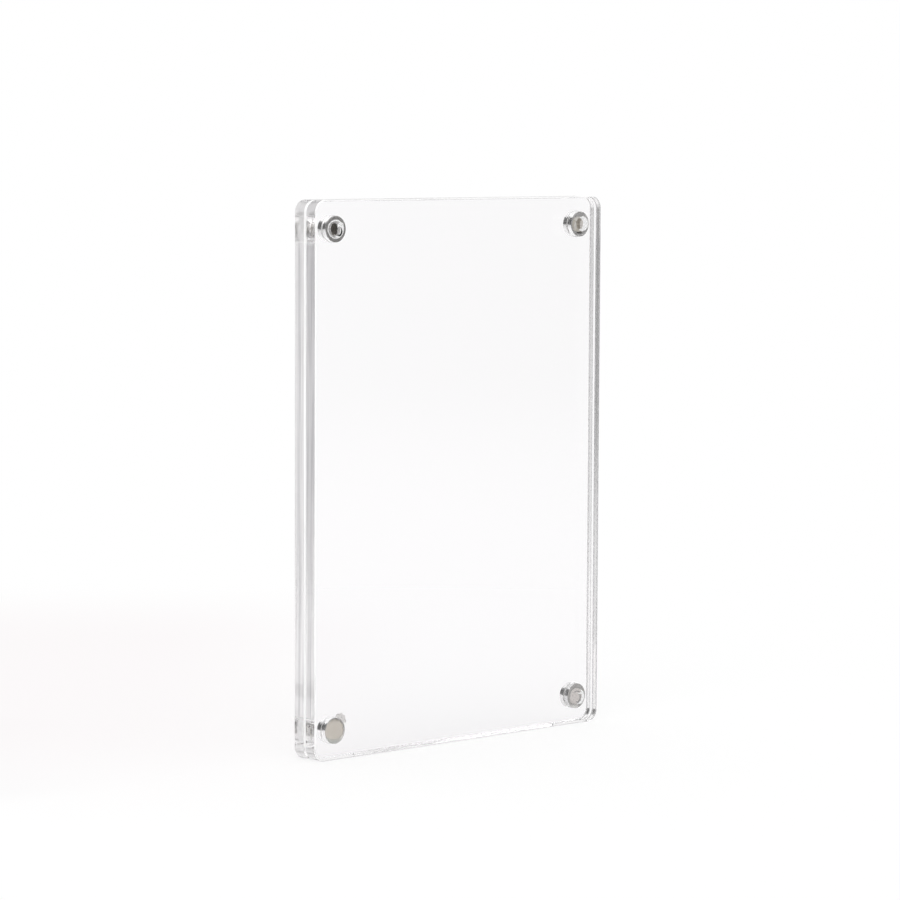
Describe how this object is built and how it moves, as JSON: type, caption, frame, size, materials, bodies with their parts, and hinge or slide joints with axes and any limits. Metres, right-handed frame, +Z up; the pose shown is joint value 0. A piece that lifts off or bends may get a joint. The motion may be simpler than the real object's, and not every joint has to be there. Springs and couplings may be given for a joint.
{
  "type": "magnetic photo frame",
  "caption": "Free-standing photo frame: two clear acrylic plates that clamp a print between them by disc magnets glued into blind pockets at their corners.",
  "frame": {"origin": "on the surface the frame stands on, midway across and midway between the outer faces, so the plane y = 0 is where the magnets meet", "axes": "+Z up along the height; -Y out of the front panel's face, towards the viewer; +X to the viewer's right"},
  "size_m": [0.127, 0.0102, 0.178],
  "materials": {
    "clear_acrylic": "polished",
    "nickel_plating": "polished",
    "clear_adhesive": "gloss"
  },
  "bodies": {
    "back": {"back_panel": "clear_acrylic", "back_magnet_top_left": "nickel_plating", "back_magnet_top_right": "nickel_plating", "back_magnet_bottom_left": "nickel_plating", "back_magnet_bottom_right": "nickel_plating", "back_adhesive_top_left": "clear_adhesive", "back_adhesive_top_right": "clear_adhesive", "back_adhesive_bottom_left": "clear_adhesive", "back_adhesive_bottom_right": "clear_adhesive"},
    "front": {"front_panel": "clear_acrylic", "front_magnet_top_left": "nickel_plating", "front_magnet_top_right": "nickel_plating", "front_magnet_bottom_left": "nickel_plating", "front_magnet_bottom_right": "nickel_plating", "front_adhesive_top_left": "clear_adhesive", "front_adhesive_top_right": "clear_adhesive", "front_adhesive_bottom_left": "clear_adhesive", "front_adhesive_bottom_right": "clear_adhesive"}
  },
  "joints": [
    {"name": "front_panel_pull", "type": "slide", "parent": "back", "child": "front", "axis": [0, -1, 0], "range_m": [0, 0.05]}
  ]
}
